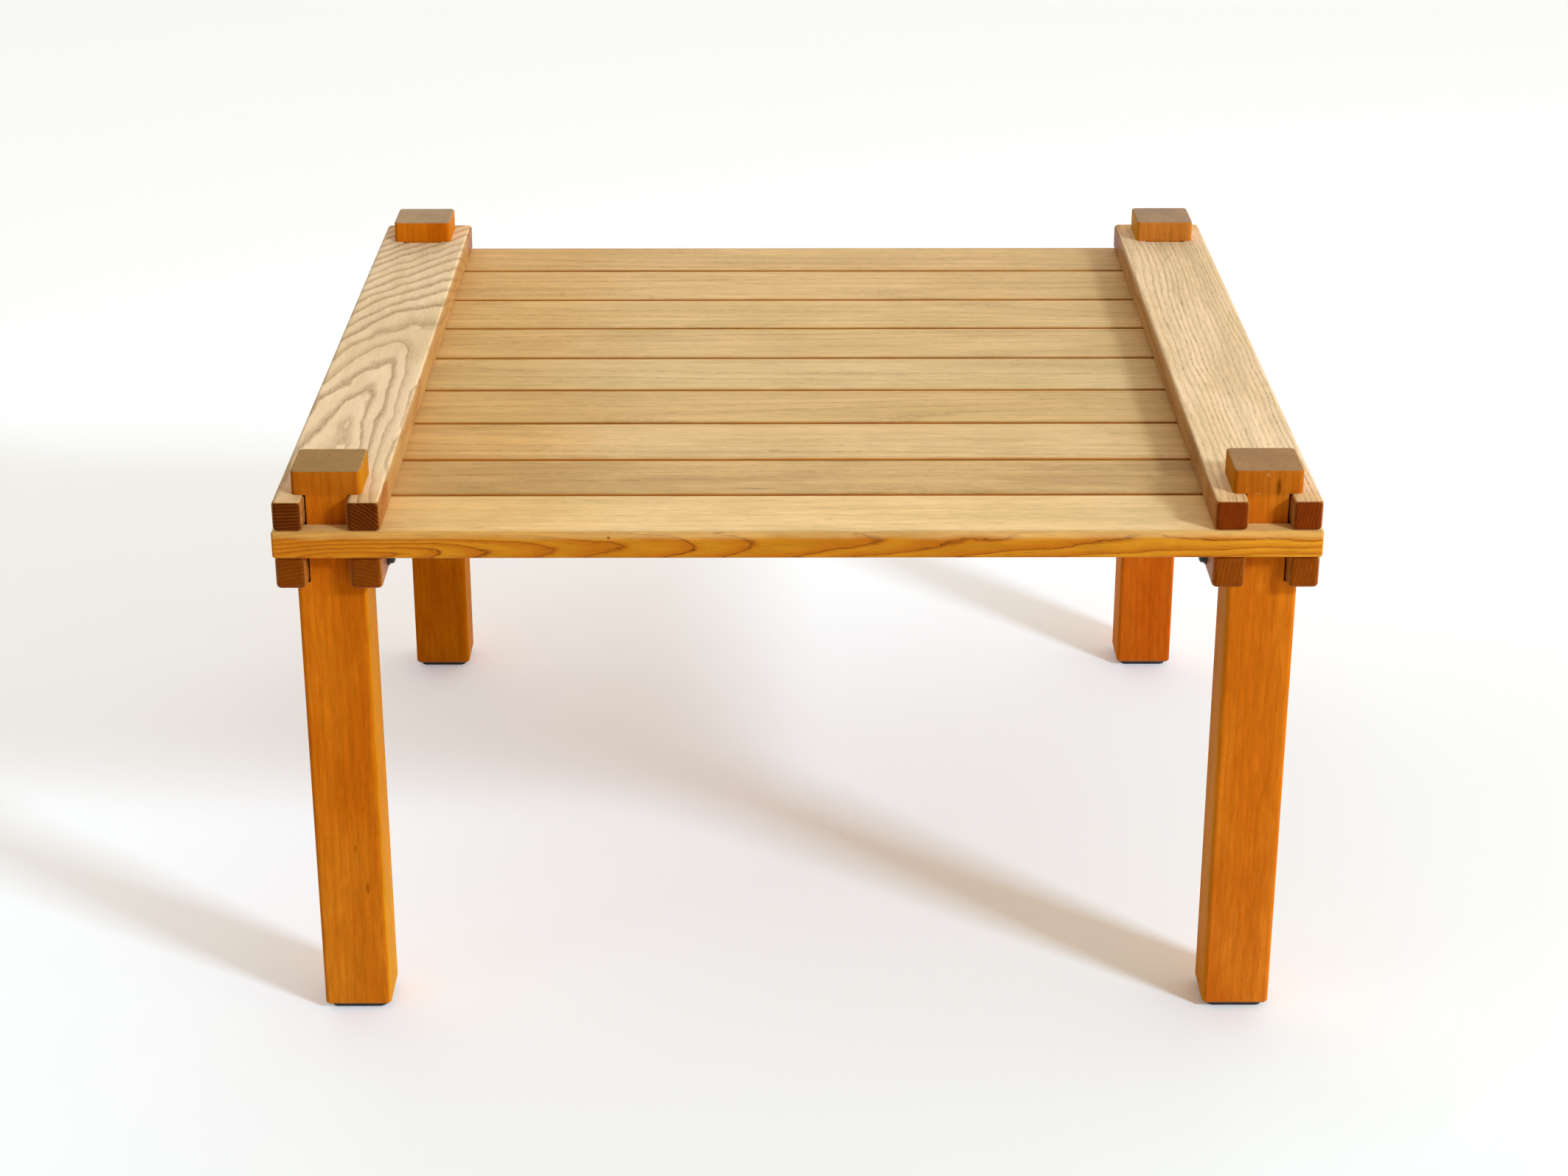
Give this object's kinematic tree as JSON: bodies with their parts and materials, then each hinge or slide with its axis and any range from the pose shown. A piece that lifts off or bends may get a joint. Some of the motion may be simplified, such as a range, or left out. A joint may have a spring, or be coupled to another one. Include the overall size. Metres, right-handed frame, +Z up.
{
  "type": "knock-down slatted low table",
  "caption": "Low wooden table with a slatted deck clamped between forked upper and lower battens, and notched square legs locked by draw bolts.",
  "frame": {"origin": "on the floor, at the middle of the table's bounding box", "axes": "+X runs along the deck boards to the right, +Y from the front to the back, +Z up"},
  "size_m": [0.8, 0.7552, 0.4695],
  "materials": {
    "deck_wood": "bleached, oiled ash",
    "upper_batten_wood": "bleached, oiled ash",
    "lower_batten_wood": "oiled ash",
    "leg_wood": "amber varnished ash",
    "foot_rubber": "matte",
    "insert_brass": "plain",
    "bolt_steel": "blackened",
    "screw_steel": "plain"
  },
  "bodies": {
    "table": {"slat_front": "deck_wood", "slat_2": "deck_wood", "slat_3": "deck_wood", "slat_4": "deck_wood", "slat_5": "deck_wood", "slat_6": "deck_wood", "slat_7": "deck_wood", "slat_8": "deck_wood", "slat_rear": "deck_wood", "upper_batten_left": "upper_batten_wood", "lower_batten_left": "lower_batten_wood", "slat_screws_left": "screw_steel", "upper_batten_right": "upper_batten_wood", "lower_batten_right": "lower_batten_wood", "slat_screws_right": "screw_steel", "leg_front_left": "leg_wood", "foot_pad_front_left": "foot_rubber", "threaded_insert_front_left": "insert_brass", "leg_front_right": "leg_wood", "foot_pad_front_right": "foot_rubber", "threaded_insert_front_right": "insert_brass", "leg_rear_left": "leg_wood", "foot_pad_rear_left": "foot_rubber", "threaded_insert_rear_left": "insert_brass", "leg_rear_right": "leg_wood", "foot_pad_rear_right": "foot_rubber", "threaded_insert_rear_right": "insert_brass"},
    "washer_front_left": {"bolt_washer_front_left": "bolt_steel"},
    "bolt_front_left": {"draw_bolt_front_left": "bolt_steel"},
    "washer_front_right": {"bolt_washer_front_right": "bolt_steel"},
    "bolt_front_right": {"draw_bolt_front_right": "bolt_steel"},
    "washer_rear_left": {"bolt_washer_rear_left": "bolt_steel"},
    "bolt_rear_left": {"draw_bolt_rear_left": "bolt_steel"},
    "washer_rear_right": {"bolt_washer_rear_right": "bolt_steel"},
    "bolt_rear_right": {"draw_bolt_rear_right": "bolt_steel"}
  },
  "joints": [
    {"name": "draw_out_front_left", "type": "slide", "parent": "table", "child": "washer_front_left", "axis": [1, 0, 0], "range_m": [0, 0.01875]},
    {"name": "unscrew_front_left", "type": "hinge", "parent": "washer_front_left", "child": "bolt_front_left", "pos_m": [-0.3173, -0.33605, 0.3915], "axis": [1, 0, 0], "range_deg": [0, 5400]},
    {"name": "draw_out_front_right", "type": "slide", "parent": "table", "child": "washer_front_right", "axis": [-1, 0, 0], "range_m": [0, 0.01875]},
    {"name": "unscrew_front_right", "type": "hinge", "parent": "washer_front_right", "child": "bolt_front_right", "pos_m": [0.3173, -0.33605, 0.3915], "axis": [-1, 0, 0], "range_deg": [0, 5400]},
    {"name": "draw_out_rear_left", "type": "slide", "parent": "table", "child": "washer_rear_left", "axis": [1, 0, 0], "range_m": [0, 0.01875]},
    {"name": "unscrew_rear_left", "type": "hinge", "parent": "washer_rear_left", "child": "bolt_rear_left", "pos_m": [-0.3173, 0.34235, 0.3915], "axis": [1, 0, 0], "range_deg": [0, 5400]},
    {"name": "draw_out_rear_right", "type": "slide", "parent": "table", "child": "washer_rear_right", "axis": [-1, 0, 0], "range_m": [0, 0.01875]},
    {"name": "unscrew_rear_right", "type": "hinge", "parent": "washer_rear_right", "child": "bolt_rear_right", "pos_m": [0.3173, 0.34235, 0.3915], "axis": [-1, 0, 0], "range_deg": [0, 5400]}
  ],
  "couplings": [
    {"joint": "unscrew_front_left", "follows": "draw_out_front_left", "rad_per_m": 5026.5},
    {"joint": "unscrew_front_right", "follows": "draw_out_front_right", "rad_per_m": 5026.5},
    {"joint": "unscrew_rear_left", "follows": "draw_out_rear_left", "rad_per_m": 5026.5},
    {"joint": "unscrew_rear_right", "follows": "draw_out_rear_right", "rad_per_m": 5026.5}
  ]
}
